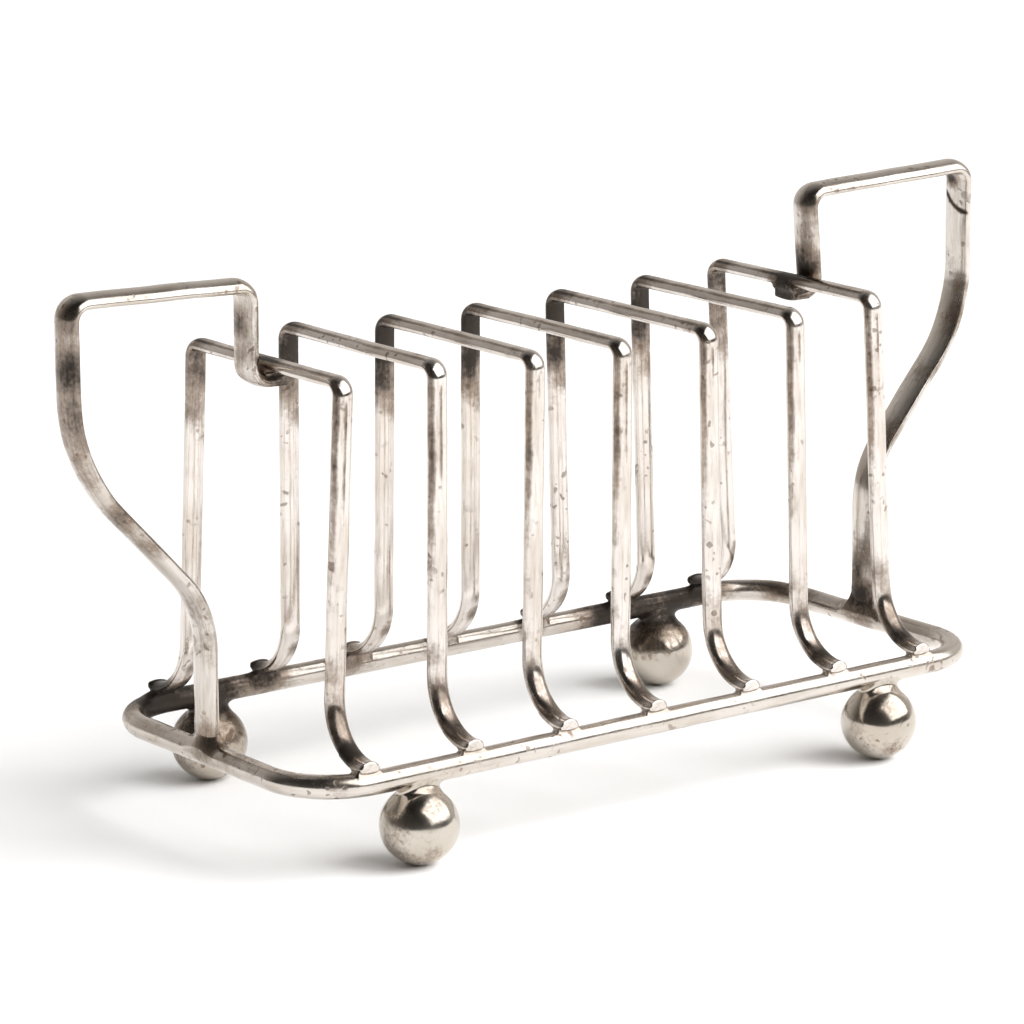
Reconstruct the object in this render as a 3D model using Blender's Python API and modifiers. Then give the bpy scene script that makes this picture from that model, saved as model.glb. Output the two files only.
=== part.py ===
"""Six-slice wire toast rack: half-round hoops soldered across an oblong base ring on four ball feet,
with a half-oval loop handle at each end. Metres, +Z up, +X along the length, origin on the table."""
import math

import bmesh
import bpy
from mathutils import Matrix, Vector

MM = 0.001

# ---- driving dimensions -------------------------------------------------------------------------
HOOPS = 7
TOP_PITCH = 17.0 * MM            # spacing of the hoops at their top bars
FOOT_PITCH = 17.85 * MM          # spacing at the rail: the outer hoops lean slightly outward
HOOP_WIDTH = 3.45 * MM           # half-round wire: flat width
HOOP_THICK = 1.72 * MM           # half-round wire: thickness
HOOP_HALF_SPAN = 19.6 * MM       # centre of a leg from the centre plane
HOOP_TOP = 71.7 * MM             # centre line of the top bar above the table
HOOP_CORNER = 2.1 * MM           # centre-line radius of the two top bends
HOOP_SWEEP = 8.6 * MM            # centre-line radius of the outward sweep at each foot
FOOT_END = 28.9 * MM             # sawn foot end from the centre plane
# the hoops were set by hand: how far each one stands off the even spacing and height
TOP_SET = (-0.4, -0.5, 0.6, 0.2, -0.1, 0.2, -0.8)
FOOT_SET = (-0.6, 0.5, 0.4, -0.4, 0.2, 0.1, -0.3)
RISE_SET = (0.2, 0.6, -0.4, -0.6, -0.4, -0.1, 0.7)

RING_WIRE = 1.8 * MM             # radius of the round base wire
RING_Z = 13.9 * MM               # centre line of the base ring
RING_LEFT = -63.6 * MM           # centre line of the left end
RING_RIGHT = 66.6 * MM           # centre line of the right end
RING_HALF_WIDTH = 28.0 * MM
RING_CORNER = 11.0 * MM

BALL = 6.0 * MM                  # radius of a ball foot
BALL_X = 44.9 * MM
NECK = 2.3 * MM                  # radius of the saddle neck under the rail
NECK_TOP = 12.9 * MM

HANDLE_WIDTH = 5.4 * MM          # half-oval wire of the handles
HANDLE_THICK = 2.05 * MM
HANDLE_OUT = 86.3 * MM           # centre line of the outer leg
HOOK = 2.3 * MM                  # centre-line radius of the hook under the end hoop
HOOK_DROP = 0.2 * MM             # a little more room under the bar, so that the hook clears its corner
BEAD = 0.5 * MM                  # radius of the solder bead behind each hook
LOWER_BEND = 16.0 * MM
UPPER_BEND = 26.0 * MM
HANDLE_BEND = 2.8 * MM           # radius of the two grip corners
# left and right loops: foot x, lower bend z, upper bend z, grip height outside and inside,
# inner leg x at the grip and at the hook
LEFT_LOOP = (63.9, 36.8, 60.8, 85.1, 84.1, 54.7, 54.8)
RIGHT_LOOP = (66.6, 39.0, 62.0, 87.6, 86.6, 52.1, 53.5)

GAP = 0.3 * MM                   # clearance left at every soldered contact

# ---- derived ------------------------------------------------------------------------------------
RING_TOP = RING_Z + RING_WIRE
FOOT_Z = RING_TOP + GAP + HOOP_THICK / 2
SWEEP_Z = FOOT_Z + HOOP_SWEEP


def wipe():
    """Empty the scene of objects and collections."""
    for ob in list(bpy.data.objects):
        bpy.data.objects.remove(ob, do_unlink=True)
    for coll in list(bpy.data.collections):
        bpy.data.collections.remove(coll)


def collection(name):
    coll = bpy.data.collections.new(name)
    bpy.context.scene.collection.children.link(coll)
    return coll


wipe()
RACK = collection("toast_rack")
TOOLS = collection("cutters_and_profiles")


def metal(name, colour, roughness):
    """A metal of its own for each kind of piece."""
    mat = bpy.data.materials.new(name)
    mat.use_nodes = True
    bsdf = mat.node_tree.nodes["Principled BSDF"]
    bsdf.inputs["Base Color"].default_value = (*colour, 1.0)
    bsdf.inputs["Roughness"].default_value = roughness
    bsdf.inputs["Metallic"].default_value = 1.0
    mat.diffuse_color = (*colour, 1.0)
    return mat


SILVER_HOOP = metal("silver_hoop_wire", (0.80, 0.77, 0.73), 0.22)
SILVER_RING = metal("silver_base_wire", (0.74, 0.70, 0.65), 0.26)
SILVER_HANDLE = metal("silver_handle_wire", (0.78, 0.75, 0.70), 0.24)
SILVER_BALL = metal("silver_ball", (0.80, 0.76, 0.71), 0.18)
SOLDER = metal("old_solder", (0.42, 0.39, 0.36), 0.5)


def fillet_path(corners, radii, step=13.0):
    """Polyline through 2-D corners, each one rounded by its radius; step is degrees per chord."""
    points = [Vector(corners[0])]
    for k in range(1, len(corners) - 1):
        here = Vector(corners[k])
        back = (Vector(corners[k - 1]) - here).normalized()
        ahead = (Vector(corners[k + 1]) - here).normalized()
        half = back.angle(ahead) / 2
        turn = math.pi - 2 * half
        reach = radii[k - 1] / math.tan(half)
        centre = here + (back + ahead).normalized() * radii[k - 1] / math.sin(half)
        start = here + back * reach - centre
        side = 1.0 if back.x * ahead.y - back.y * ahead.x < 0 else -1.0
        count = max(2, round(math.degrees(turn) / step))
        for n in range(count + 1):
            spin = Matrix.Rotation(side * turn * n / count, 2)
            points.append(centre + spin @ start)
    points.append(Vector(corners[-1]))
    return points


def half_round(name, width, thick, segments=8):
    """Closed outline of a half-round or half-oval wire, flat side towards -X, centred on its thickness."""
    curve = bpy.data.curves.new(name, "CURVE")
    curve.dimensions = "2D"
    curve.fill_mode = "NONE"
    edge = 0.12
    angles = [math.pi * (n / segments - 0.5) for n in range(segments + 1)]
    outline = [(-thick / 2 + thick * max(math.cos(a), 0.0) * (1 - edge) + thick * edge,
                width / 2 * math.sin(a)) for a in angles]
    outline.insert(0, (-thick / 2, -width / 2 * (1 - edge)))
    outline.append((-thick / 2, width / 2 * (1 - edge)))
    spline = curve.splines.new("POLY")
    spline.points.add(len(outline) - 1)
    for point, (x, y) in zip(spline.points, outline):
        point.co = (x, y, 0.0, 1.0)
    spline.use_cyclic_u = True
    ob = bpy.data.objects.new(name, curve)
    TOOLS.objects.link(ob)
    ob.hide_render = True
    ob.display_type = "WIRE"
    return ob


HOOP_SECTION = half_round("hoop_wire_section", HOOP_WIDTH, HOOP_THICK)
HANDLE_SECTION = half_round("handle_wire_section", HANDLE_WIDTH, HANDLE_THICK)


def finish(ob, material, sharp=40.0):
    """Smooth shading with crisp edges kept, and the piece's own metal."""
    ob.data.materials.clear()
    ob.data.materials.append(material)
    ob.data.shade_smooth()
    ob.data.set_sharp_from_angle(angle=math.radians(sharp))
    return ob


def bake(ob, name, material, matrix):
    """Turn a finished curve into a welded, closed mesh object at the given place."""
    TOOLS.objects.link(ob)
    bpy.context.view_layer.update()
    graph = bpy.context.evaluated_depsgraph_get()
    mesh = bpy.data.meshes.new_from_object(ob.evaluated_get(graph))
    old = ob.data
    bpy.data.objects.remove(ob, do_unlink=True)
    bpy.data.curves.remove(old)
    mesh.name = name
    bm = bmesh.new()
    bm.from_mesh(mesh)
    bmesh.ops.remove_doubles(bm, verts=bm.verts, dist=0.00001)
    bmesh.ops.recalc_face_normals(bm, faces=bm.faces)
    bm.to_mesh(mesh)
    bm.free()
    piece = bpy.data.objects.new(name, mesh)
    RACK.objects.link(piece)
    piece.matrix_world = matrix
    return finish(piece, material)


def wire(name, points, material, matrix, section=None, radius=0.0, cyclic=False):
    """Bend a wire along a planar polyline."""
    curve = bpy.data.curves.new(name, "CURVE")
    curve.dimensions = "2D"
    curve.fill_mode = "NONE"
    if section is None:
        curve.bevel_depth = radius
        curve.bevel_resolution = 4
    else:
        curve.bevel_mode = "OBJECT"
        curve.bevel_object = section
    curve.use_fill_caps = not cyclic
    spline = curve.splines.new("POLY")
    spline.points.add(len(points) - 1)
    for point, co in zip(spline.points, points):
        point.co = (co[0], co[1], 0.0, 1.0)
    spline.use_cyclic_u = cyclic
    return bake(bpy.data.objects.new(name, curve), name, material, matrix)


def frame(across, upward, origin):
    """Matrix whose local X and Y axes lie along two world directions."""
    x = Vector(across).normalized()
    z = x.cross(Vector(upward)).normalized()
    y = z.cross(x)
    rot = Matrix((x, y, z)).transposed()
    return Matrix.Translation(Vector(origin)) @ rot.to_4x4()


def solder(name, outline, half_length, matrix):
    """A run of solder: a closed outline drawn out evenly to both sides."""
    curve = bpy.data.curves.new(name, "CURVE")
    curve.dimensions = "2D"
    curve.fill_mode = "BOTH"
    curve.extrude = half_length
    spline = curve.splines.new("POLY")
    spline.points.add(len(outline) - 1)
    for point, (x, y) in zip(spline.points, outline):
        point.co = (x, y, 0.0, 1.0)
    spline.use_cyclic_u = True
    return bake(bpy.data.objects.new(name, curve), name, SOLDER, matrix)


def arc_points(centre, radius, start, stop, count):
    """Points on an arc, angles in radians."""
    steps = [start + (stop - start) * n / count for n in range(count + 1)]
    return [(centre[0] + radius * math.cos(a), centre[1] + radius * math.sin(a)) for a in steps]


def hollow(first, last, sag, count=5):
    """Points strictly between two ends of a face hollowed by a sag vector."""
    a = Vector(first)
    b = Vector(last)
    return [tuple(a.lerp(b, n / count) + Vector(sag) * math.sin(math.pi * n / count))
            for n in range(1, count)]


def foot_fillet():
    """Crevice between the swept foot and the inner shoulder of the rail, heights from the rail centre."""
    hug = RING_WIRE + GAP
    bend = HOOP_SWEEP + HOOP_THICK / 2 + GAP
    bend_y = HOOP_HALF_SPAN + HOOP_SWEEP
    bend_z = SWEEP_Z - RING_Z
    apart = math.hypot(bend_z, bend_y - RING_HALF_WIDTH)
    along = (hug ** 2 - bend ** 2 + apart ** 2) / (2 * apart)
    tip_angle = math.atan2(along, -math.sqrt(hug ** 2 - along ** 2))
    tip_y = RING_HALF_WIDTH + hug * math.cos(tip_angle)
    tip_sweep = math.acos((bend_y - tip_y) / bend)
    shoulder = arc_points((RING_HALF_WIDTH, 0), hug, math.radians(155), tip_angle, 3)
    underside = arc_points((bend_y, bend_z), bend, math.pi + tip_sweep, math.radians(245), 3)
    face = hollow(underside[-1], shoulder[0], (0.35 * MM, 0.09 * MM), 3)
    return shoulder[:-1] + underside + face


def handle_fillet(ring_x, face_x):
    """Corner between the flat inner face of a handle foot and the top of the ring end."""
    hug = RING_WIRE + GAP
    tip_angle = math.acos((face_x - GAP - ring_x) / hug)
    shoulder = arc_points((ring_x, 0), hug, tip_angle + math.radians(40), tip_angle, 3)
    return shoulder + [(face_x - GAP, RING_WIRE + 1.4 * MM)]


FOOT_FILLET = foot_fillet()

# ---- base ring ----------------------------------------------------------------------------------
mid = (RING_LEFT + RING_RIGHT) / 2
half = (RING_RIGHT - RING_LEFT) / 2
ring_corners = [(0, -RING_HALF_WIDTH), (half, -RING_HALF_WIDTH), (half, RING_HALF_WIDTH),
                (-half, RING_HALF_WIDTH), (-half, -RING_HALF_WIDTH), (0, -RING_HALF_WIDTH)]
ring_path = fillet_path(ring_corners, [RING_CORNER] * 4)[:-1]
wire("base_ring", ring_path, SILVER_RING, Matrix.Translation((mid, 0, RING_Z)),
     radius=RING_WIRE, cyclic=True)

# ---- hoops --------------------------------------------------------------------------------------
for k in range(HOOPS):
    step = k - (HOOPS - 1) / 2
    foot_x = step * FOOT_PITCH + FOOT_SET[k] * MM
    top_x = step * TOP_PITCH + TOP_SET[k] * MM
    top_z = HOOP_TOP + RISE_SET[k] * MM
    lean = Vector((top_x - foot_x, 0, top_z - FOOT_Z))
    corners = [(-FOOT_END, 0), (-HOOP_HALF_SPAN, 0), (-HOOP_HALF_SPAN, lean.length),
               (HOOP_HALF_SPAN, lean.length), (HOOP_HALF_SPAN, 0), (FOOT_END, 0)]
    path = fillet_path(corners, [HOOP_SWEEP, HOOP_CORNER, HOOP_CORNER, HOOP_SWEEP])
    path.reverse()
    wire("hoop_%d" % (k + 1), path, SILVER_HOOP, frame((0, 1, 0), lean, (foot_x, 0, FOOT_Z)),
         section=HOOP_SECTION)

    for side, label in ((-1, "near"), (1, "far")):
        solder("solder_foot_%s_%d" % (label, k + 1), FOOT_FILLET, HOOP_WIDTH * 0.42,
               frame((0, side, 0), (0, 0, 1), (foot_x, 0, RING_Z)))

# ---- ball feet ----------------------------------------------------------------------------------


def lathe(name, profile, material, place, turns=22):
    """Spin a profile of (radius, height) round the vertical axis with a Screw modifier."""
    mesh = bpy.data.meshes.new(name)
    mesh.from_pydata([(r, 0, z) for r, z in profile], [(n, n + 1) for n in range(len(profile) - 1)], [])
    ob = bpy.data.objects.new(name, mesh)
    RACK.objects.link(ob)
    screw = ob.modifiers.new("spin", "SCREW")
    screw.steps = turns
    screw.render_steps = turns
    screw.use_merge_vertices = True
    screw.merge_threshold = 0.00001
    screw.use_smooth_shade = True
    ob.location = place
    ob.data.materials.append(material)
    return ob


neck_angle = math.asin((NECK + 0.5 * MM) / BALL)
ball_profile = []
for n in range(15):
    a = -math.pi / 2 + (math.pi - neck_angle) * n / 14
    ball_profile.append((max(BALL * math.cos(a), 0.0), BALL + BALL * math.sin(a)))
ball_profile += [(NECK + 0.12 * MM, ball_profile[-1][1] + 0.28 * MM),
                 (NECK, ball_profile[-1][1] + 0.75 * MM), (NECK - 0.15 * MM, NECK_TOP),
                 (0.0, NECK_TOP)]
for x_side, x_label in ((-1, "left"), (1, "right")):
    for y_side, y_label in ((-1, "near"), (1, "far")):
        place = (x_side * BALL_X, y_side * RING_HALF_WIDTH, 0)
        ball = lathe("ball_foot_%s_%s" % (y_label, x_label), ball_profile, SILVER_BALL, place)
        bpy.ops.mesh.primitive_cylinder_add(vertices=48, radius=RING_WIRE + GAP, depth=20 * MM,
                                            location=(place[0], place[1], RING_Z),
                                            rotation=(0, math.pi / 2, 0))
        saddle = bpy.context.object
        saddle.name = "saddle_%s_%s" % (y_label, x_label)
        for coll in list(saddle.users_collection):
            coll.objects.unlink(saddle)
        TOOLS.objects.link(saddle)
        saddle.hide_render = True
        saddle.display_type = "WIRE"
        cut = ball.modifiers.new("saddle", "BOOLEAN")
        cut.operation = "DIFFERENCE"
        cut.solver = "EXACT"
        cut.object = saddle

# ---- handles ------------------------------------------------------------------------------------


def handle(name, side, loop, end_x, bar_z):
    """Loop handle in the centre plane: foot on the ring end, S-sweep out, grip, and hook under the bar."""
    foot_x, low_z, high_z, grip_out, grip_in, inner_top, inner_x = (value * MM for value in loop)
    hook_z = bar_z - HOOP_THICK / 2 - GAP - HOOK_DROP - HANDLE_THICK / 2
    corners = [(foot_x, RING_TOP + GAP), (foot_x, low_z), (HANDLE_OUT, high_z), (HANDLE_OUT, grip_out),
               (inner_top, grip_in), (inner_x, hook_z), (end_x, hook_z)]
    path = fillet_path(corners, [LOWER_BEND, UPPER_BEND, HANDLE_BEND, HANDLE_BEND, HOOK], step=10.0)
    matrix = frame((side, 0, 0), (0, 0, 1), (0, 0, 0))
    wire("handle_" + name, path, SILVER_HANDLE, matrix, section=HANDLE_SECTION)
    at_ring = frame((side, 0, 0), (0, 0, 1), (0, 0, RING_Z))
    ring_x = -RING_LEFT if side < 0 else RING_RIGHT
    solder("solder_handle_" + name, handle_fillet(ring_x, foot_x - HANDLE_THICK / 2),
           HANDLE_WIDTH * 0.42, at_ring)
    bead = (end_x - BEAD - 0.25 * MM, bar_z - HOOP_THICK / 2 - 0.45 * MM)
    solder("solder_hook_" + name, arc_points(bead, BEAD, 0, math.tau, 10)[:-1], 1.8 * MM, matrix)


left_bar_x = (HOOPS - 1) / 2 * TOP_PITCH - TOP_SET[0] * MM
right_bar_x = (HOOPS - 1) / 2 * TOP_PITCH + TOP_SET[-1] * MM
handle("left", -1, LEFT_LOOP, left_bar_x - 1.6 * MM, HOOP_TOP + RISE_SET[0] * MM)
handle("right", 1, RIGHT_LOOP, right_bar_x - 1.6 * MM, HOOP_TOP + RISE_SET[-1] * MM)
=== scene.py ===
"""Looks of the wire toast rack: every CAD node replaced by a finely swept, soldered and tarnished piece."""
import math

import bpy
import numpy as np
from mathutils import Matrix, Vector, noise


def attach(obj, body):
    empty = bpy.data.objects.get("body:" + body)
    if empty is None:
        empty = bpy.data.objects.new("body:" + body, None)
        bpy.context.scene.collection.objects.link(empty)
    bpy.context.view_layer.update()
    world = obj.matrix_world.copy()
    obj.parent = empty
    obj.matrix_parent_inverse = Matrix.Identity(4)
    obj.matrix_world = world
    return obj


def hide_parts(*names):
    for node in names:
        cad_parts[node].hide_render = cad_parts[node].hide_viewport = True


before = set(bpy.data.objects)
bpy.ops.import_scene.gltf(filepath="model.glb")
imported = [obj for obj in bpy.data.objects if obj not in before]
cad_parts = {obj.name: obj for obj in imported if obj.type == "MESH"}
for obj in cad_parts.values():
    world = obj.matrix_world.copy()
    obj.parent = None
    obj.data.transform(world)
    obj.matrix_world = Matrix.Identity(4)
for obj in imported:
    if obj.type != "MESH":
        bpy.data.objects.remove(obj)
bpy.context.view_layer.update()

MM = 0.001

# ---- dimensions shared with the CAD (metres) ------------------------------------------------------
HOOPS = 7
TOP_PITCH, FOOT_PITCH = 17.0 * MM, 17.85 * MM
HOOP_W, HOOP_T = 3.45 * MM, 1.72 * MM
HOOP_HALF, HOOP_TOP = 19.6 * MM, 71.7 * MM
HOOP_CORNER, HOOP_SWEEP = 2.1 * MM, 8.6 * MM
NEAR_END, FAR_END = 28.9 * MM, 27.3 * MM
# each hoop's own offsets in mm: a least-squares fit to the photograph, rounded, and TOP_SET last adjusted
# one by one
TOP_SET = (-0.4, -0.5, 0.6, 0.2, -0.1, 0.2, -0.8)
FOOT_SET = (-0.6, 0.5, 0.4, -0.4, 0.2, 0.1, -0.3)
RISE_SET = (0.2, 0.6, -0.4, -0.6, -0.4, -0.1, 0.7)
RING_R, RING_Z = 1.8 * MM, 13.9 * MM
RING_LEFT, RING_RIGHT = -63.6 * MM, 66.6 * MM
RING_HALF, RING_CORNER = 28.0 * MM, 11.0 * MM
BALL, BALL_X = 6.0 * MM, 44.9 * MM
HANDLE_W, HANDLE_T = 5.4 * MM, 2.05 * MM
HANDLE_OUT = 86.3 * MM
HOOK = 2.3 * MM
# foot x, lower bend z, upper bend z, grip z outside and inside, inner leg x at grip and hook
LEFT_LOOP = (63.9, 36.8, 60.8, 85.1, 84.1, 54.7, 54.8)
RIGHT_LOOP = (66.6, 39.0, 62.0, 87.6, 86.6, 52.1, 53.5)
FOOT_Z = RING_Z + RING_R + 0.08 * MM + HOOP_T / 2      # feet sit right on the rail here


def hoop_place(k):
    """Foot x, top x and top z of a hoop."""
    step = k - (HOOPS - 1) / 2
    return (step * FOOT_PITCH + FOOT_SET[k] * MM, step * TOP_PITCH + TOP_SET[k] * MM,
            HOOP_TOP + RISE_SET[k] * MM)


# ---- tarnish map: where the plate has gone brown or black (point mm, radius mm, strength) ----------
STAINS = []


def stain(x, y, z, radius, strength):
    STAINS.append((x, y, z, radius, strength))


for k in range(HOOPS):
    fx, tx, tz = (v / MM for v in hoop_place(k))
    near = (0.75, 0.62, 0.5, 0.45, 0.5, 0.6, 0.7)[k]
    far = (1.0, 0.85, 0.6, 0.4, 0.55, 0.8, 1.0)[k]
    stain(fx, -24.2, 17.2, 3.4, near + 0.3)
    stain(fx, -20.8, 22.0, 5.0, near * 0.85)
    stain(fx - 1.5, -19.8, 28.0, 3.0, near * 0.7)
    stain(fx, 26.0, 16.5, 5.0, far)
    top = (0.75, 1.0, 1.2, 1.2, 1.1, 1.0, 0.9)[k]
    stain(tx, 18.6, tz - 3.5, 5.2, top)
    stain(tx - 1.0, 18.6, tz - 9.0, 4.2, top * 0.75)
    stain(tx + 1.2, 18.6, tz - 14.0, 3.2, top * 0.5)
    stain(tx, 15.0, tz - 0.9, 3.0, 0.4)
    for drop, reach, amount in ((4.4, 1.5, 0.95), (7.0, 1.2, 0.8), (9.6, 0.9, 0.65)):
        stain(fx + 0.9, 19.6 if drop > 5 else 20.4, 17 + drop, reach, amount)
    stain(tx, -15.0, tz - 1.0, 2.4, 0.3)
for x in (-58, -52, -45):
    stain(x, 27.0, 13.5, 8.0, 0.9)
for x in (34, 41, 48):
    stain(x, 28.0, 13.5, 7.0, 0.95)
for sx in (-1, 1):
    stain(sx * BALL_X / MM, 28.0, 11.8, 3.4, 1.0)
    stain(sx * BALL_X / MM - 5.0, -30.0, 4.5, 4.0, 0.4)
    stain(sx * BALL_X / MM - 2.2, -31.5, 9.6, 3.8, 0.42)
    stain(sx * BALL_X / MM - 1.0, -33.0, 2.0, 3.0, 0.45)
    stain(sx * BALL_X / MM, -28.0, 11.3, 2.6, 0.55)
stain(-51.0, 0, 69.0, 4.4, 1.15)
stain(-54.2, 0.6, 78.5, 3.0, 1.05)
stain(-55.0, -1.0, 81.0, 2.6, 0.35)
stain(49.6, 0, 70.2, 4.2, 1.1)
stain(53.0, 0.5, 74.0, 4.6, 1.0)
stain(52.5, -1.5, 80.0, 4.5, 0.5)
stain(52.0, -2.0, 84.0, 3.0, 0.6)
stain(66.5, 0, 17.0, 4.6, 0.9)
stain(65.6, -1.5, 24.5, 5.0, 0.6)
stain(-63.9, -1.5, 15.6, 3.4, 0.8)
stain(-61.5, -9.0, 15.5, 5.5, 0.5)
stain(-58.0, -25.0, 15.2, 4.0, 0.45)
for z, reach, amount in ((82, 4, 0.7), (76, 6, 0.75), (68, 6, 0.7), (61, 5, 0.55)):
    stain(-87.6 + 0.006 * (78 - z) ** 2, -1.6, z, reach, amount)
for x, z, amount in ((-79.0, 52.5, 0.6), (-74.0, 47.5, 0.5), (-66.0, 38.0, 0.5), (-64.2, 30.0, 0.35)):
    stain(x, -2.0, z, 4.0, amount)
stain(-54.6, -1.2, 74.0, 5.0, 0.45)
stain(66.6, 18.0, 15.0, 9.0, 0.45)
stain(79.6, -1.8, 53.0, 4.0, 0.45)
stain(84.6, -1.8, 62.0, 3.6, 0.5)
stain(85.4, -1.2, 68.0, 2.6, 0.45)
stain(85.2, 1.0, 85.2, 1.7, 1.0)
for step in range(15):                     # a curved scratch across the right handle's inner face
    t = step / 14
    stain(85.2, 2.5 - 4.9 * t, 82.8 - 3.0 * (1 - (1 - t) ** 2), 0.42, 1.15)
stain(71.0, -1.4, 44.0, 4.0, 0.5)
stain(86.0, 0, 72.0, 4.0, 0.3)
STAIN = np.array(STAINS)


def tarnish_at(points):
    """Tarnish from 0 to about 1.2 at an array of points in metres."""
    p = points / MM
    total = np.zeros(len(p))
    for x, y, z, radius, strength in STAIN:
        d2 = ((p[:, 0] - x) ** 2 + (p[:, 1] - y) ** 2 + (p[:, 2] - z) ** 2) / radius ** 2
        total = np.maximum(total, strength * np.exp(-0.9 * d2)) + 0.12 * strength * np.exp(-0.6 * d2)
    return total


# ---- mesh helpers ---------------------------------------------------------------------------------


def smooth_noise(x, y, z=0.0):
    return noise.noise(Vector((x, y, z)))


def six_volumes(co, faces):
    """Six times the signed volume: negative when the faces point inwards."""
    return sum(np.dot(co[f[0]], np.cross(co[f[i]], co[f[i + 1]]))
               for f in faces for i in range(1, len(f) - 1))


def make_piece(name, verts, faces, wire, material, nodes, painted_reflection_marks=None):
    """Mesh object with its tarnish (plus any painted reflection and shade marks) and wire coordinates
    stored on the vertices.
    """
    co = np.array([tuple(v) for v in verts], dtype=float)
    if six_volumes(co, faces) < 0:
        faces = [tuple(reversed([int(i) for i in f])) for f in faces]
    mesh = bpy.data.meshes.new(name)
    mesh.from_pydata(co.tolist(), [], [tuple(int(i) for i in f) for f in faces])
    mesh.update()
    # the tarnish attribute also holds any painted reflection and shade marks
    tarnish_and_reflection = mesh.attributes.new("tarnish", "FLOAT", "POINT")
    level = tarnish_at(co) + (0 if painted_reflection_marks is None else painted_reflection_marks(co, np.array(wire)))
    tarnish_and_reflection.data.foreach_set("value", level.astype(np.float32))
    wir = mesh.attributes.new("wire", "FLOAT_VECTOR", "POINT")
    wir.data.foreach_set("vector", np.array(wire, dtype=np.float32).ravel())
    mesh.materials.append(material)
    mesh.shade_smooth()
    mesh.set_sharp_from_angle(angle=math.radians(46))
    ob = bpy.data.objects.new(name, mesh)
    bpy.context.scene.collection.objects.link(ob)
    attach(ob, "root")
    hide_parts(*nodes)
    return ob


def bend_path(corners, radii, chord=4.0, run=1.2 * MM):
    """Dense polyline through 2-D corners with rounded bends, straight runs cut into short steps."""
    raw = [Vector(corners[0])]
    for k in range(1, len(corners) - 1):
        here = Vector(corners[k])
        back = (Vector(corners[k - 1]) - here).normalized()
        ahead = (Vector(corners[k + 1]) - here).normalized()
        half = back.angle(ahead) / 2
        turn = math.pi - 2 * half
        reach = radii[k - 1] / math.tan(half)
        centre = here + (back + ahead).normalized() * radii[k - 1] / math.sin(half)
        start = here + back * reach - centre
        side = 1.0 if back.x * ahead.y - back.y * ahead.x < 0 else -1.0
        count = max(4, round(math.degrees(turn) / chord))
        for n in range(count + 1):
            raw.append(centre + Matrix.Rotation(side * turn * n / count, 2) @ start)
    raw.append(Vector(corners[-1]))
    out = [raw[0]]
    for a, b in zip(raw, raw[1:]):
        length = (b - a).length
        cuts = max(1, int(length / run))
        for n in range(1, cuts + 1):
            out.append(a.lerp(b, n / cuts))
    return out


def half_oval(width, thick, soft=0.2, crown=0.0):
    """Half-oval section: (offset towards the round side, offset across), nearly flat at the back.
    crown is how far the middle of the back bulges."""
    e = soft * thick
    out = []
    for n in range(19):
        a = math.pi * (n / 18 - 0.5)
        out.append((-thick / 2 + e + (thick - e) * math.cos(a), width / 2 * math.sin(a)))
    for n in range(1, 5):
        a = math.pi / 2 * n / 4
        out.append((-thick / 2 + e - e * math.sin(a), width / 2 - e + e * math.cos(a)))
    for n in range(1, 12):
        t = 1 - n / 6
        out.append((-thick / 2 - crown * (1 - t * t), (width / 2 - e) * t))
    for n in range(0, 4):
        a = math.pi / 2 * n / 4
        out.append((-thick / 2 + e - e * math.cos(a), -width / 2 + e - e * math.sin(a)))
    return out


def round_section(radius, sides=32):
    return [(radius * math.cos(math.tau * n / sides), radius * math.sin(math.tau * n / sides))
            for n in range(sides)]


FIRST_STEPS = (0.0, 0.3, 0.7)                  # how far into a rounded end each ring stands
LAST_STEPS = (0.7, 0.45, 0.2, 0.07, 0.0)


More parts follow.
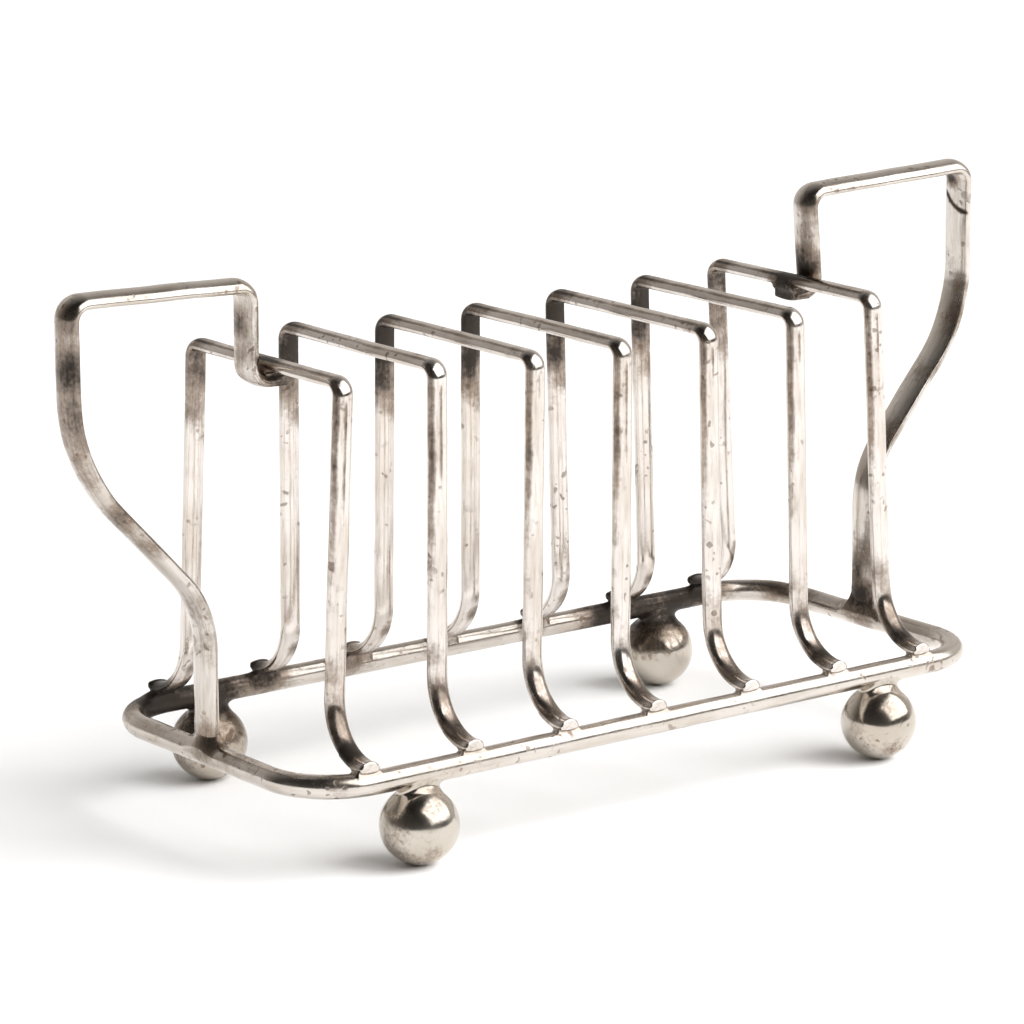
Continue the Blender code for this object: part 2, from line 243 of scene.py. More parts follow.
def sweep(path, section, place, seed, closed=False, wobble=0.05 * MM, end_round=0.25 * MM,
          last_round=None):
    """Sweep a section along a planar path. The section's first axis points to the left of travel
    times -1 (the round side), its second out of the plane. Returns verts, faces, wire coordinates."""
    count = len(path)
    along = [0.0]
    for a, b in zip(path, path[1:]):
        along.append(along[-1] + (b - a).length)
    total = along[-1]
    rings = []

    def tangent(n):
        if closed:
            return (path[(n + 1) % count] - path[n - 1]).normalized()
        a = path[max(n - 1, 0)]
        b = path[min(n + 1, count - 1)]
        return (b - a).normalized()

    for n in range(count):
        t = tangent(n)
        out_dir = Vector((t.y, -t.x))
        s = along[n] / MM
        if closed:
            phase = math.tau * n / count
            u, v = 9 * math.cos(phase), 9 * math.sin(phase)
            da = wobble * smooth_noise(u, v, seed)
            db = wobble * smooth_noise(u + 40, v, seed)
            grow = 1 + 0.02 * smooth_noise(u, v + 40, seed)
        else:
            da = wobble * smooth_noise(s / 9.0, seed, 0.0)
            db = wobble * smooth_noise(s / 11.0, seed, 7.0)
            grow = 1 + 0.02 * smooth_noise(s / 5.0, seed, 3.0)
        rings.append((path[n], t, out_dir, da, db, grow, along[n]))
    verts, wire, faces = [], [], []
    sides = len(section)

    def ring_at(p, t, out_dir, da, db, grow, s, shrink=0.0, slide=0.0):
        for a, b in section:
            r = math.hypot(a, b)
            k = grow * (1 - min(shrink / max(r, 1e-9), 0.95))
            flat = p + out_dir * (a * k + da) + t * slide
            verts.append(place @ Vector((flat.x, flat.y, b * k + db)))
            wire.append((s + slide, a, b))

    if not closed:
        for q in FIRST_STEPS:
            lift = end_round * (1 - math.sqrt(max(0.0, 1 - (1 - q) ** 2)))
            ring_at(*rings[0], shrink=lift, slide=q * end_round)
        body = rings[1:-1]
        for r in body:
            ring_at(*r)
        final = last_round or end_round
        for q in LAST_STEPS:
            lift = final * (1 - math.sqrt(max(0.0, 1 - (1 - q) ** 2)))
            ring_at(*rings[-1], shrink=lift, slide=-q * final)
    else:
        for r in rings:
            ring_at(*r)
    levels = len(verts) // sides
    for n in range(levels if closed else levels - 1):
        m = (n + 1) % levels
        for j in range(sides):
            i = (j + 1) % sides
            faces.append((n * sides + j, m * sides + j, m * sides + i, n * sides + i))
    if not closed:
        for base, flip in ((0, False), ((levels - 1) * sides, True)):
            centre = sum((verts[base + j] for j in range(sides)), Vector()) / sides
            verts.append(centre)
            wire.append((wire[base][0], 0.0, 0.0))
            top = len(verts) - 1
            for j in range(sides):
                i = (j + 1) % sides
                faces.append((base + i, top, base + j) if flip else (base + j, top, base + i))
    return verts, faces, wire


def surface_net(field, low, high, cell):
    """Closed quad mesh of field = 0 (negative inside) by the surface-nets method."""
    axes = [np.arange(low[i], high[i] + cell, cell) for i in range(3)]
    grid = np.stack(np.meshgrid(*axes, indexing="ij"), -1)
    val = field(grid.reshape(-1, 3)).reshape(grid.shape[:3])
    inside = val < 0
    shape = tuple(s - 1 for s in val.shape)
    acc = np.zeros(shape + (3,))
    hits = np.zeros(shape)
    corner = {}
    for c in np.ndindex(2, 2, 2):
        corner[c] = val[c[0]:shape[0] + c[0], c[1]:shape[1] + c[1], c[2]:shape[2] + c[2]]
    for axis in range(3):
        for c in np.ndindex(2, 2, 2):
            if c[axis]:
                continue
            d = list(c)
            d[axis] = 1
            va, vb = corner[c], corner[tuple(d)]
            cross = (va < 0) != (vb < 0)
            t = np.where(cross, va / np.where(cross, va - vb, 1.0), 0.0)
            p = np.zeros(shape + (3,)) + np.array(c, dtype=float)
            p[..., axis] += t
            acc += np.where(cross[..., None], p, 0.0)
            hits += cross
    live = hits > 0
    index = np.full(shape, -1)
    index[live] = np.arange(int(live.sum()))
    cells = np.argwhere(live)
    pts = np.array(low) + (cells + acc[live] / hits[live][:, None]) * cell
    quads = []
    for axis in range(3):
        lo = [slice(1, -1)] * 3
        lo[axis] = slice(0, -1)
        hi = list(lo)
        hi[axis] = slice(1, None)
        a, b = inside[tuple(lo)], inside[tuple(hi)]
        where = np.argwhere(a != b)
        if not len(where):
            continue
        first = a[a != b]
        where = where + np.array([0 if i == axis else 1 for i in range(3)])
        u, v = (axis + 1) % 3, (axis + 2) % 3
        ring = []
        for du, dv in ((1, 1), (0, 1), (0, 0), (1, 0)):
            q = where.copy()
            q[:, u] -= du
            q[:, v] -= dv
            ring.append(index[q[:, 0], q[:, 1], q[:, 2]])
        quad = np.stack(ring, 1)
        quads.append(np.where(first[:, None], quad, quad[:, ::-1]))
    quads = np.concatenate(quads)
    step = cell * 0.05
    for _ in range(2):
        f0 = field(pts)
        g = np.stack([(field(pts + step * np.eye(3)[i]) - f0) / step for i in range(3)], 1)
        pts = pts - np.clip(f0, -cell, cell)[:, None] * g / np.maximum((g * g).sum(1), 0.2)[:, None]
    return pts, quads


# ---- distance fields for the soldered joints -------------------------------------------------------


def ring_field(p):
    cx = (RING_LEFT + RING_RIGHT) / 2
    hx = (RING_RIGHT - RING_LEFT) / 2 - RING_CORNER
    hy = RING_HALF - RING_CORNER
    qx = np.abs(p[:, 0] - cx) - hx
    qy = np.abs(p[:, 1]) - hy
    flat = np.hypot(np.maximum(qx, 0), np.maximum(qy, 0)) + np.minimum(np.maximum(qx, qy), 0) - RING_CORNER
    return np.hypot(flat, p[:, 2] - RING_Z) - RING_R


def half_round_field(n, across, width, thick):
    base = n + thick / 2
    bow = (np.hypot(base / thick, across / (width / 2)) - 1) * min(thick, width / 2)
    return np.maximum(bow, -base)


def hoop_field(p, k):
    fx, tx, tz = hoop_place(k)
    s = p[:, 2] - FOOT_Z
    across = p[:, 0] - (fx + (tx - fx) * s / (tz - FOOT_Z))
    q = np.abs(p[:, 1])
    bend_q = HOOP_HALF + HOOP_SWEEP
    rho = np.hypot(q - bend_q, s - HOOP_SWEEP)
    n = np.where(q >= bend_q, s, np.where(s >= HOOP_SWEEP, q - HOOP_HALF, HOOP_SWEEP - rho))
    end = np.where(p[:, 1] < 0, NEAR_END - 0.5 * MM, FAR_END - 0.5 * MM)
    return np.maximum(half_round_field(n, across, HOOP_W, HOOP_T), q - end)


def box_field(p, centre, half, soft=0.0):
    q = np.abs(p - np.array(centre)) - np.array(half) + soft
    return np.linalg.norm(np.maximum(q, 0), axis=1) + np.minimum(q.max(1), 0) - soft


def blend(a, b, k):
    h = np.maximum(k - np.abs(a - b), 0) / k
    return np.minimum(a, b) - h * h * k / 4


def rough_skin(p, size, depth, seed):
    """A little unevenness for solder."""
    q = p / size
    wave = np.sin(q[:, 0] + seed) * np.sin(q[:, 1] * 1.3 + 2 * seed) * np.sin(q[:, 2] * 1.1 + 3 * seed)
    return depth * (1 + wave) / 2


SOLDER_CELL, NECK_CELL = 0.2 * MM, 0.22 * MM
SKIN = 0.045 * MM        # how far solder stays inside the pieces it joins


# ---- materials -------------------------------------------------------------------------------------


def silver(name, colour, brown=1.0, rough=0.17, pits=1.0, streak=1.0, bump=1.0):
    """Worn silver plate: brown to black tarnish, pits, lengthwise scratches and soft dents."""
    mat = bpy.data.materials.new(name)
    mat.use_nodes = True
    tree = mat.node_tree
    tree.nodes.clear()

    def add(kind, **inputs):
        node = tree.nodes.new(kind)
        for key, value in inputs.items():
            node.inputs[key.replace("_", " ")].default_value = value
        return node

    def link(a, b):
        tree.links.new(a, b)

    def value(op, a, b=None, clamp=False):
        node = tree.nodes.new("ShaderNodeMath")
        node.operation = op
        node.use_clamp = clamp
        for n, item in enumerate((a, b)):
            if item is None:
                continue
            if isinstance(item, (int, float)):
                node.inputs[n].default_value = item
            else:
                link(item, node.inputs[n])
        return node.outputs[0]

    def remap(src, a, b, c=0.0, d=1.0):
        node = tree.nodes.new("ShaderNodeMapRange")
        node.interpolation_type = "SMOOTHSTEP"
        for key, item in zip(("From Min", "From Max", "To Min", "To Max"), (a, b, c, d)):
            node.inputs[key].default_value = item
        link(src, node.inputs["Value"])
        return node.outputs["Result"]

    def mix(fac, a, b):
        node = tree.nodes.new("ShaderNodeMix")
        node.data_type = "RGBA"
        link(fac, node.inputs["Factor"])
        for n, item in ((6, a), (7, b)):
            if isinstance(item, tuple):
                node.inputs[n].default_value = item + (1.0,)
            else:
                link(item, node.inputs[n])
        return node.outputs[2]

    def noise_tex(vector, scale, detail=3.0, rough_=0.55):
        node = add("ShaderNodeTexNoise", Scale=scale, Detail=detail, Roughness=rough_)
        link(vector, node.inputs["Vector"])
        return node.outputs["Fac"]

    coord = add("ShaderNodeTexCoord").outputs["Object"]
    # the stored tarnish attribute also carries painted reflection and shade stripes on the hoops
    tarnish_and_reflection = add("ShaderNodeAttribute")
    tarnish_and_reflection.attribute_name = "tarnish"
    wire = add("ShaderNodeAttribute")
    wire.attribute_name = "wire"
    stretch = add("ShaderNodeVectorMath")
    stretch.operation = "MULTIPLY"
    stretch.inputs[1].default_value = (0.09, 1.0, 1.0)
    link(wire.outputs["Vector"], stretch.inputs[0])
    lines = noise_tex(stretch.outputs["Vector"], 2600.0, 4.0, 0.62)
    wide_lines = noise_tex(stretch.outputs["Vector"], 900.0, 2.0)

    cloud = noise_tex(coord, 210.0, 4.0, 0.6)
    patch = noise_tex(coord, 90.0, 3.0, 0.5)
    fine = noise_tex(coord, 1500.0, 3.0, 0.6)

    # pits: ragged little spots gathered in some places, and a few larger stains
    dots = remap(noise_tex(coord, 1000.0, 0.6, 0.3), 0.66, 0.73)
    blots = remap(noise_tex(coord, 430.0, 1.4, 0.45), 0.675, 0.72)
    where = noise_tex(coord, 120.0, 2.0, 0.5)
    spots = value("MULTIPLY", dots, remap(where, 0.46, 0.62, 0.05, 0.9))
    spots = value("MAXIMUM", spots, value("MULTIPLY", blots, remap(patch, 0.48, 0.62, 0.0, 0.95)))
    spots = value("MULTIPLY", spots, pits, clamp=True)

    # tarnish: stored map, which on the hoops also holds painted reflection and shade stripes, broken up by
    # clouds
    broken = value("ADD", value("MULTIPLY", value("SUBTRACT", cloud, 0.5), 1.0),
                   value("MULTIPLY", value("SUBTRACT", lines if streak else fine, 0.5), 0.4))
    broken = value("ADD", broken, value("MULTIPLY", value("SUBTRACT", fine, 0.5), 0.45))
    level = value("ADD", value("MULTIPLY", tarnish_and_reflection.outputs["Fac"], 1.1 * brown), broken)
    brown_mask = remap(level, 0.22, 0.72)
    black_mask = remap(level, 0.62, 1.15)
    haze = remap(value("ADD", value("MULTIPLY", patch, 0.6), value("MULTIPLY", wide_lines, 0.4)), 0.4, 0.66)

    warm = tuple(c * k for c, k in zip(colour, (0.70, 0.64, 0.57)))
    tone = mix(value("MULTIPLY", haze, 0.62), colour, warm)
    tone = mix(value("MULTIPLY", remap(lines, 0.48, 0.68), 0.5 * streak), tone, (0.34, 0.275, 0.225))
    tone = mix(value("MULTIPLY", brown_mask, 0.8), tone, (0.235, 0.175, 0.13))
    tone = mix(value("MULTIPLY", spots, 0.75), tone, (0.15, 0.095, 0.06))
    tone = mix(value("MULTIPLY", black_mask, 0.93), tone, (0.02, 0.015, 0.012))

    gloss = value("ADD", remap(cloud, 0.3, 0.75, rough - 0.04, rough + 0.09),
                  value("MULTIPLY", remap(lines, 0.45, 0.75), 0.08 * streak))
    gloss = value("ADD", gloss, value("MULTIPLY", brown_mask, 0.08))
    gloss = value("ADD", gloss, value("MULTIPLY", black_mask, 0.1))
    gloss = value("ADD", gloss, value("MULTIPLY", spots, 0.2), clamp=True)

    height = value("ADD", value("MULTIPLY", value("SUBTRACT", 1.0, spots), 0.035),
                   value("MULTIPLY", cloud, 0.085))
    height = value("ADD", height, value("MULTIPLY", lines, 0.011 * streak))
    height = value("ADD", height, value("MULTIPLY", wide_lines, 0.02 * streak))
    height = value("ADD", height, value("MULTIPLY", fine, 0.006))
    relief = add("ShaderNodeBump", Strength=0.9 * bump, Distance=1.0 * MM)
    link(height, relief.inputs["Height"])

    shader = add("ShaderNodeBsdfPrincipled")
    link(tone, shader.inputs["Base Color"])
    link(gloss, shader.inputs["Roughness"])
    link(value("SUBTRACT", 1.0, value("MULTIPLY", black_mask, 0.3)), shader.inputs["Metallic"])
    link(relief.outputs["Normal"], shader.inputs["Normal"])
    out = add("ShaderNodeOutputMaterial")
    link(shader.outputs["BSDF"], out.inputs["Surface"])
    return mat


HOOP_MAT = silver("hoop_silver", (0.80, 0.75, 0.71), rough=0.15, pits=0.85, streak=0.7, bump=0.5)
RAIL_MAT = silver("rail_silver", (0.72, 0.67, 0.62), brown=1.05, rough=0.2, pits=0.9, streak=0.35, bump=0.8)
HANDLE_MAT = silver("handle_silver", (0.73, 0.685, 0.64), rough=0.16, pits=0.85, streak=0.6, bump=0.5)
BALL_MAT = silver("ball_silver", (0.62, 0.57, 0.505), rough=0.17, streak=0.0, bump=0.65)
SOLDER_MAT = silver("solder_grey", (0.55, 0.50, 0.455), rough=0.22, pits=0.9, streak=0.0)


# ---- hoops -----------------------------------------------------------------------------------------

HOOP_SECTION = half_oval(HOOP_W, HOOP_T, 0.3, 0.16 * MM)
for k in range(HOOPS):
    foot_x, top_x, top_z = hoop_place(k)
    rise = Vector((top_x - foot_x, 0, top_z - FOOT_Z))
    up = rise.normalized()
    length = rise.length
    corners = [(-NEAR_END, 0), (-HOOP_HALF, 0), (-HOOP_HALF, length), (HOOP_HALF, length),
               (HOOP_HALF, 0), (FAR_END, 0)]
    path = bend_path(corners, (HOOP_SWEEP, HOOP_CORNER, HOOP_CORNER, HOOP_SWEEP))
    side = Vector((0, 1, 0))
    normal = side.cross(up)
    place = Matrix.Translation((foot_x, 0, FOOT_Z)) @ Matrix(
        ((side.x, up.x, normal.x, 0), (side.y, up.y, normal.y, 0), (side.z, up.z, normal.z, 0),
         (0, 0, 0, 1)))
    section = [(-a, b) for a, b in reversed(HOOP_SECTION)]
    v, f, w = sweep(path, section, place, 11.3 + 4 * k, wobble=0.06 * MM, end_round=0.28 * MM,
                    last_round=0.8 * MM)
    # how far down each near leg the painted reflection stripe runs, in mm
    reach = (30.0, 26.0, 9.0, 24.0, 12.0, 10.0, 16.0)[k]

    def painted_reflection_lines(co, w, top_z=top_z, reach=reach):
        """Painted reflection and shade, added to the tarnish: a dark stripe down the middle of the near
        leg, painted shade down its left side, and a dark stripe and darker band along the top bar.
        """
        down = (top_z - co[:, 2]) / MM
        on = (co[:, 1] < -18.5 * MM) & (w[:, 1] < 0.3 * MM)
        fade = np.clip((down - 1.5) / 2, 0, 1) * np.clip((reach - down) / (0.6 * reach), 0, 1)
        # painted reflection: a dark stripe down the middle of the near leg
        middle_reflection = np.exp(-((w[:, 2] / MM + 0.1) / 0.26) ** 2) * 0.85 * fade
        # painted shade down the near leg's left side
        left_shade = np.exp(-((w[:, 2] / MM + 1.45) / 0.5) ** 2) * 0.75 * np.clip((44 - down) / 30, 0, 1)
        bar = (down < 1.2) & (np.abs(co[:, 1]) < 18.0 * MM)
        # painted reflection on the top bar: a dark stripe and a wider darker band
        bar_reflection = (np.exp(-((w[:, 2] / MM + 1.0) / 0.24) ** 2) * 0.7
                  + np.exp(-((w[:, 2] / MM) / 0.7) ** 2) * 0.2)
        return np.where(on, middle_reflection + left_shade, 0.0) + np.where(bar, bar_reflection, 0.0)

    # the hoop's stored tarnish also carries these painted reflection and shade marks
    make_piece(f"hoop_{k + 1}_wire", v, f, w, HOOP_MAT, [f"hoop_{k + 1}"], painted_reflection_lines)

# ---- rail ------------------------------------------------------------------------------------------

mid = (RING_LEFT + RING_RIGHT) / 2
half = (RING_RIGHT - RING_LEFT) / 2
loop = []
for cx, cy, start in ((half, RING_HALF, 0), (-half, RING_HALF, 90), (-half, -RING_HALF, 180),
                      (half, -RING_HALF, 270)):
    ox = cx - math.copysign(RING_CORNER, cx)
    oy = cy - math.copysign(RING_CORNER, cy)
    for n in range(25):
        a = math.radians(start + 90 * n / 24)
        loop.append(Vector((ox + RING_CORNER * math.cos(a), oy + RING_CORNER * math.sin(a))))
dense = []
for a, b in zip(loop, loop[1:] + loop[:1]):
    cuts = max(1, int((b - a).length / (1.2 * MM)))
    dense += [a.lerp(b, n / cuts) for n in range(cuts)]
place = Matrix.Translation((mid, 0, RING_Z))
v, f, w = sweep(dense, round_section(RING_R), place, 5.0, closed=True, wobble=0.03 * MM)
make_piece("base_ring_wire", v, f, w, RAIL_MAT, ["base_ring"])

# ---- handles ---------------------------------------------------------------------------------------

HANDLE_SECTION = half_oval(HANDLE_W, HANDLE_T, 0.24, 0.2 * MM)
HOOK_ENDS = {}
for side, name, nums in ((-1, "left", LEFT_LOOP), (1, "right", RIGHT_LOOP)):
    foot_x, low_z, high_z, grip_out, grip_in, inner_top, inner_x = (n * MM for n in nums)
    bar_z = (71.9 if side < 0 else 72.4) * MM
    bar_x = (51.4 if side < 0 else 50.2) * MM
    hook_z = bar_z - HOOP_T / 2 - (0.42 if side < 0 else 0.04) * MM - HANDLE_T / 2
    end_x = bar_x - 1.6 * MM
    corners = [(foot_x, 15.6 * MM), (foot_x, low_z), (HANDLE_OUT, high_z), (HANDLE_OUT, grip_out),
               (inner_top, grip_in), (inner_x, hook_z), (end_x, hook_z)]
    path = bend_path(corners, (16 * MM, 26 * MM, 2.8 * MM, 2.8 * MM, HOOK), run=0.45 * MM)
    place = Matrix(((side, 0, 0, 0), (0, 0, 1, 0), (0, 1, 0, 0), (0, 0, 0, 1)))
    v, f, w = sweep(path, HANDLE_SECTION, place, 71.0 + 9 * side, wobble=0.1 * MM, end_round=0.35 * MM)
    make_piece(f"handle_{name}_strip", v, f, w, HANDLE_MAT, [f"handle_{name}"])
    HOOK_ENDS[name] = (side * end_x, side * bar_x, bar_z, hook_z, side * foot_x)

# ---- ball feet: a ball and its soldered neck flaring into the rail ----------------------------------


def ball_mesh(centre, seed, rows=48, cols=72):
    """Fine ball with very shallow dents."""
    verts, faces = [], []
    for n in range(1, rows):
        t = math.pi * n / rows
        for m in range(cols):
            a = math.tau * m / cols
            d = Vector((math.sin(t) * math.cos(a), math.sin(t) * math.sin(a), math.cos(t)))
            dent = 0.05 * MM * smooth_noise(*(d * 2.2 + Vector((seed, 0, 0)))) * (1 - max(0, -d.z) ** 3)
            verts.append(centre + d * (BALL + dent - 0.02 * MM))
    for n in range(rows - 2):
        for m in range(cols):
            k = (m + 1) % cols
            faces.append((n * cols + m, (n + 1) * cols + m, (n + 1) * cols + k, n * cols + k))
    top, low = len(verts), len(verts) + 1
    verts += [centre + Vector((0, 0, BALL - 0.02 * MM)), centre - Vector((0, 0, BALL - 0.02 * MM))]
    last = (rows - 2) * cols
    for m in range(cols):
        k = (m + 1) % cols
        faces.append((top, m, k))
        faces.append((last + m, low, last + k))
    return verts, faces


def net_in_box(field, centre, half, cell):
    """Surface net of a field inside a box, with two spare cells round it."""
    low = [c - h - 2 * cell for c, h in zip(centre, half)]
    high = [c + h + 2 * cell for c, h in zip(centre, half)]
    return surface_net(field, low, high, cell)


def net_piece(name, field, centre, half, cell, material, node):
    pts, quads = net_in_box(field, centre, half, cell)
    wire = [(0.0, 0.0, 0.0)] * len(pts)
    return make_piece(name, pts, quads, wire, material, [node])


for sy, depth in ((-1, "near"), (1, "far")):
    for sx, side_name in ((-1, "left"), (1, "right")):
        centre = Vector((sx * BALL_X, sy * RING_HALF, BALL))
        verts, faces = ball_mesh(centre, 3.7 + 2.3 * sx + 5.1 * sy)
        mid_c = (centre.x, centre.y, 11.9 * MM)
        mid_h = (6.0 * MM, 5.2 * MM, 3.3 * MM)

        def neck_field(p, c=centre, mid_c=mid_c, mid_h=mid_h):
            ball = np.linalg.norm(p - np.array(c), axis=1) - BALL
            lump = blend(ball, ring_field(p), 2.6 * MM)
            lump = lump + rough_skin(p, 0.9 * MM, 0.05 * MM, c.x * 100) + SKIN + 0.02 * MM
            return np.maximum(lump, box_field(p, mid_c, mid_h, 0.4 * MM))

        pts, quads = net_in_box(neck_field, mid_c, mid_h, NECK_CELL)
        base = len(verts)
        if six_volumes(pts, quads) < 0:
            quads = quads[:, ::-1]
        if six_volumes(np.array([tuple(v) for v in verts]), faces) < 0:
            faces = [tuple(reversed(q)) for q in faces]
        verts = [tuple(v) for v in verts] + pts.tolist()
        faces = faces + [tuple(int(i) + base for i in q) for q in quads]
        make_piece(f"ball_{depth}_{side_name}", verts, faces, [(0.0, 0.0, 0.0)] * len(verts), BALL_MAT,
                   [f"ball_foot_{depth}_{side_name}"])

# ---- solder under the hoop feet --------------------------------------------------------------------

for k in range(HOOPS):
    foot_x = hoop_place(k)[0]
    for sy, depth in ((-1, "near"), (1, "far")):
        centre = (foot_x, sy * 27.2 * MM, 15.6 * MM)
        half = (3.5 * MM, 4.2 * MM, 2.4 * MM)

        def foot_field(p, k=k, centre=centre, half=half):
            lump = blend(ring_field(p), hoop_field(p, k), (1.1 if p[:, 1].mean() < 0 else 2.3) * MM)
            lump = lump + rough_skin(p, 0.7 * MM, 0.04 * MM, k + 0.5) + SKIN
            return np.maximum(lump, box_field(p, centre, half, 0.3 * MM))

        net_piece(f"solder_{depth}_{k + 1}", foot_field, centre, half, SOLDER_CELL, SOLDER_MAT,
                  f"solder_foot_{depth}_{k + 1}")

# ---- solder at the handles' feet and hooks ---------------------------------------------------------

for name, (end_x, bar_x, bar_z, hook_z, foot_x) in HOOK_ENDS.items():
    side = math.copysign(1, foot_x)
    centre = (foot_x, 0.0, 16.0 * MM)
    half = (3.4 * MM, 5.4 * MM, 3.0 * MM)

    def stand_field(p, side=side, foot_x=foot_x, centre=centre, half=half):
        strip = half_round_field(side * (p[:, 0] - foot_x), p[:, 1], HANDLE_W, HANDLE_T)
        strip = np.maximum(strip, 15.6 * MM - p[:, 2])
        lump = blend(ring_field(p), strip, 2.6 * MM)
        lump = lump + rough_skin(p, 0.8 * MM, 0.05 * MM, 1.0 + side) + SKIN
        return np.maximum(lump, box_field(p, centre, half, 0.4 * MM))

    net_piece(f"solder_stand_{name}", stand_field, centre, half, SOLDER_CELL, SOLDER_MAT,
              f"solder_handle_{name}")
    centre = (bar_x + side * 0.4 * MM, 0.0, (bar_z + hook_z) / 2)
    half = (3.6 * MM, 4.6 * MM, 2.1 * MM)

    def hook_field(p, side=side, bar_x=bar_x, end_x=end_x, bar_z=bar_z, hook_z=hook_z, centre=centre,
                   half=half):
        bar = half_round_field(p[:, 2] - bar_z, p[:, 0] - bar_x, HOOP_W, HOOP_T)
        strip = half_round_field(p[:, 2] - hook_z, p[:, 1], HANDLE_W, HANDLE_T)
        strip = np.maximum(strip, side * (end_x - p[:, 0]))
        strip = np.maximum(strip, side * (p[:, 0] - bar_x) - 1.5 * MM)
        lump = blend(bar, strip, 2.1 * MM)
        lump = lump + rough_skin(p, 0.7 * MM, 0.05 * MM, 2.0 + side) + SKIN
        return np.maximum(lump, box_field(p, centre, half, 0.3 * MM))

    net_piece(f"solder_under_{name}", hook_field, centre, half, SOLDER_CELL, SOLDER_MAT,
              f"solder_hook_{name}")

# ---- studio ----------------------------------------------------------------------------------------

scene = bpy.context.scene
scene.view_settings.view_transform = "Standard"
scene.view_settings.look = "None"

floor_mesh = bpy.data.meshes.new("floor")
span, cuts = 3.0, 24
grid_verts = [(span * (2 * i / cuts - 1), span * (2 * j / cuts - 1), 0.0)
              for i in range(cuts + 1) for j in range(cuts + 1)]
grid_faces = [(i * (cuts + 1) + j, (i + 1) * (cuts + 1) + j, (i + 1) * (cuts + 1) + j + 1,
               i * (cuts + 1) + j + 1) for i in range(cuts) for j in range(cuts)]
floor_mesh.from_pydata(grid_verts, [], grid_faces)
floor = bpy.data.objects.new("floor", floor_mesh)
scene.collection.objects.link(floor)
paper = bpy.data.materials.new("paper")
paper.use_nodes = True
tree = paper.node_tree
skin_shader = tree.nodes["Principled BSDF"]
skin_shader.inputs["Roughness"].default_value = 0.85
skin_shader.inputs["Specular IOR Level"].default_value = 0.1
mottle = tree.nodes.new("ShaderNodeTexNoise")
mottle.inputs["Scale"].default_value = 3.0
ramp = tree.nodes.new("ShaderNodeMapRange")
ramp.inputs["To Min"].default_value = 0.86
ramp.inputs["To Max"].default_value = 0.88
joined = tree.nodes.new("ShaderNodeCombineColor")
tree.links.new(mottle.outputs["Fac"], ramp.inputs["Value"])
for channel in ("Red", "Green", "Blue"):
    tree.links.new(ramp.outputs["Result"], joined.inputs[channel])
tree.links.new(joined.outputs["Color"], skin_shader.inputs["Base Color"])
floor_mesh.materials.append(paper)

world = bpy.data.worlds.new("studio")
scene.world = world
world.use_nodes = True
tree = world.node_tree
tree.nodes.clear()
seen = tree.nodes.new("ShaderNodeBackground")
seen.inputs["Color"].default_value = (1.0, 1.0, 1.0, 1.0)
room = tree.nodes.new("ShaderNodeBackground")
room.inputs["Color"].default_value = (1.0, 0.945, 0.885, 1.0)
facing = tree.nodes.new("ShaderNodeTexCoord").outputs["Generated"]
BEHIND = (0.601, 0.799, 0.0)          # away from the camera, where the studio is lighter


def world_range(source, low, high, out_low, out_high):
    node = tree.nodes.new("ShaderNodeMapRange")
    node.interpolation_type = "SMOOTHSTEP"
    for key, item in zip(("From Min", "From Max", "To Min", "To Max"), (low, high, out_low, out_high)):
        node.inputs[key].default_value = item
    tree.links.new(source, node.inputs["Value"])
    return node.outputs["Result"]


def along_axis(axis):
    node = tree.nodes.new("ShaderNodeVectorMath")
    node.operation = "DOT_PRODUCT"
    node.inputs[1].default_value = axis
    tree.links.new(facing, node.inputs[0])
    return node.outputs["Value"]


glow = tree.nodes.new("ShaderNodeMath")
glow.operation = "MULTIPLY"
tree.links.new(world_range(along_axis(BEHIND), -0.25, 0.75, 0.055, 0.64), glow.inputs[0])
tree.links.new(world_range(along_axis((0, 0, 1)), 0.3, 0.95, 1.0, 0.4), glow.inputs[1])
tree.links.new(glow.outputs[0], room.inputs["Strength"])
path_node = tree.nodes.new("ShaderNodeLightPath")
chooser = tree.nodes.new("ShaderNodeMixShader")
world_out = tree.nodes.new("ShaderNodeOutputWorld")
tree.links.new(path_node.outputs["Is Camera Ray"], chooser.inputs[0])
tree.links.new(room.outputs[0], chooser.inputs[1])
tree.links.new(seen.outputs[0], chooser.inputs[2])
tree.links.new(chooser.outputs[0], world_out.inputs["Surface"])


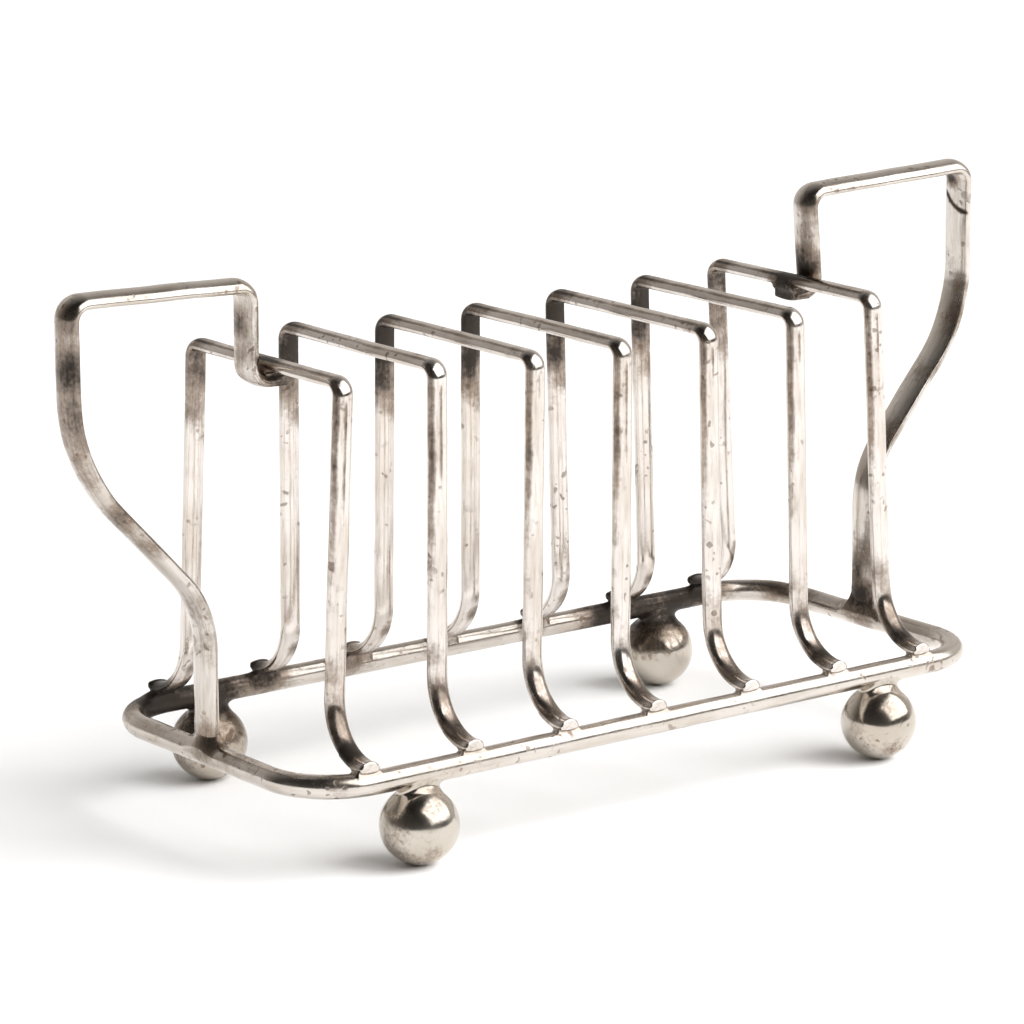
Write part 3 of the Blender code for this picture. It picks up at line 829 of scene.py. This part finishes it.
def panel(name, azimuth, elevation, distance, width, height, watts, colour, glossy=True):
    """Rectangular light facing the middle of the rack."""
    a, e = math.radians(azimuth), math.radians(elevation)
    aim = Vector((0, 0, 0.03))
    away = Vector((math.sin(a) * math.cos(e), -math.cos(a) * math.cos(e), math.sin(e)))
    lamp = bpy.data.lights.new(name, "AREA")
    lamp.shape = "RECTANGLE"
    lamp.size, lamp.size_y = width, height
    lamp.energy = watts
    lamp.color = colour
    ob = bpy.data.objects.new(name, lamp)
    ob.location = aim + away * distance
    ob.rotation_euler = away.to_track_quat("Z", "Y").to_euler()
    ob.visible_glossy = glossy
    scene.collection.objects.link(ob)


def sky(name, azimuth, elevation, spread, power):
    """Even light on the floor, left out of the reflections."""
    a, e = math.radians(azimuth), math.radians(elevation)
    away = Vector((math.sin(a) * math.cos(e), -math.cos(a) * math.cos(e), math.sin(e)))
    lamp = bpy.data.lights.new(name, "SUN")
    lamp.angle = math.radians(spread)
    lamp.energy = power
    ob = bpy.data.objects.new(name, lamp)
    ob.rotation_euler = away.to_track_quat("Z", "Y").to_euler()
    ob.visible_glossy = False
    scene.collection.objects.link(ob)


panel("key", 36, 42, 1.25, 1.8, 1.35, 17.0, (1.0, 0.985, 0.97))
sky("side", 50, 36, 44, 3.05)
sky("fill", -80, 80, 120, 0.85)

# ---- camera: the photograph's view, from the same least-squares fit --------------------------------

AZIMUTH, ELEVATION, ROLL = (math.radians(v) for v in (-36.955, 13.386, -0.352))
back = Vector((math.sin(AZIMUTH) * math.cos(ELEVATION), -math.cos(AZIMUTH) * math.cos(ELEVATION),
               math.sin(ELEVATION)))
right = (-back).cross(Vector((0, 0, 1))).normalized()
above = right.cross(-back)
turned = right * math.cos(ROLL) + above * math.sin(ROLL)
upward = -right * math.sin(ROLL) + above * math.cos(ROLL)
camera_data = bpy.data.cameras.new("camera")
camera_data.sensor_width = 36.0
camera_data.lens = 165.533
camera_data.clip_start = 0.01
camera_data.clip_end = 30.0
camera = bpy.data.objects.new("camera", camera_data)
camera.matrix_world = Matrix((
    (turned.x, upward.x, back.x, -0.43291603),
    (turned.y, upward.y, back.y, -0.56691748),
    (turned.z, upward.z, back.z, 0.21124023),
    (0, 0, 0, 1)))
scene.collection.objects.link(camera)
scene.camera = camera
